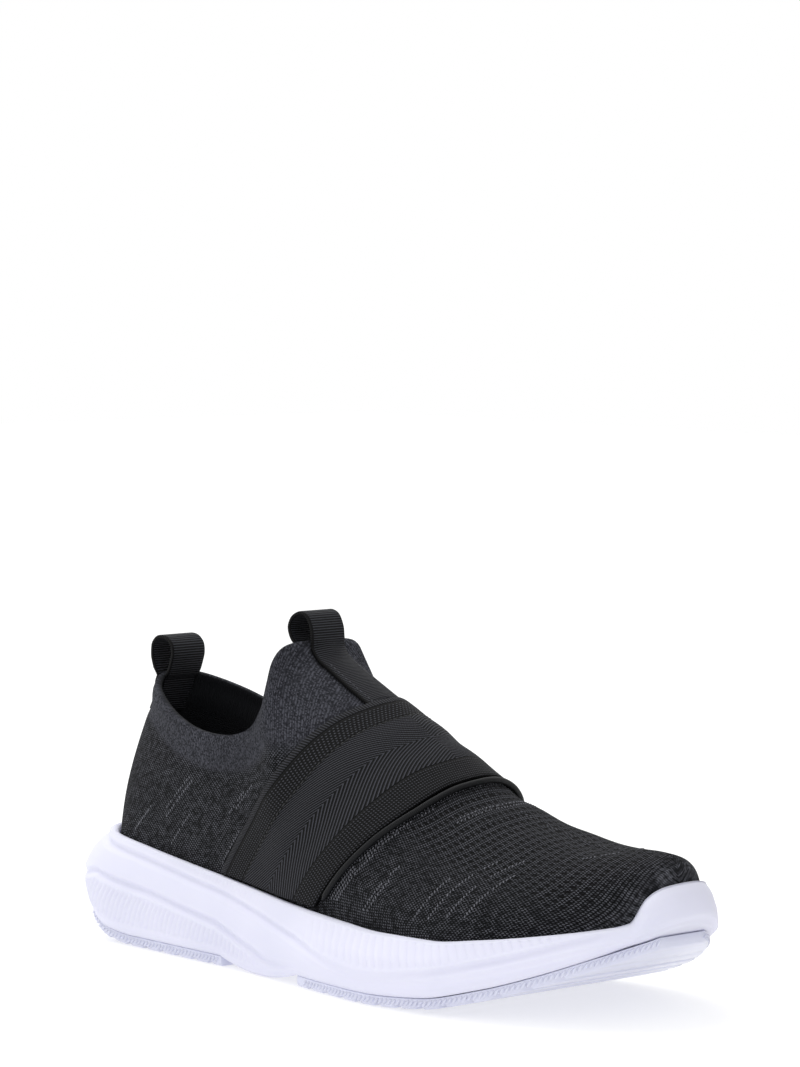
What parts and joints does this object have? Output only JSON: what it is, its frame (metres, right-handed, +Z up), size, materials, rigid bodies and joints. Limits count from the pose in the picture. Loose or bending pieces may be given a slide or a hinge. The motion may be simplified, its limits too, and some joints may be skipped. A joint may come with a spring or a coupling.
{
  "type": "slip-on sneaker",
  "caption": "Right slip-on sneaker: hollow knitted upper with a tongue tab and pull loops, wide instep strap with piped edge, grooved foam cup sole and lugged clear rubber pads.",
  "frame": {"origin": "on the floor under the middle of the sole's outline", "axes": "+X to the toe, +Y to the inner side of the right foot, +Z up"},
  "size_m": [0.2716, 0.1016, 0.1193],
  "materials": {
    "foam": "smooth moulded foam",
    "rubber": "clear frosted rubber",
    "knit": "charcoal knit",
    "sock": "black cloth over foam",
    "elastic": "woven elastic",
    "cord": "smooth round piping",
    "tape": "ribbed woven tape"
  },
  "bodies": {
    "root": {"midsole": "foam", "heel_outsole": "rubber", "forefoot_outsole": "rubber", "upper": "knit", "insole": "sock", "instep_strap": "elastic", "strap_piping": "cord", "heel_loop": "tape", "tongue_loop": "tape"}
  },
  "joints": []
}
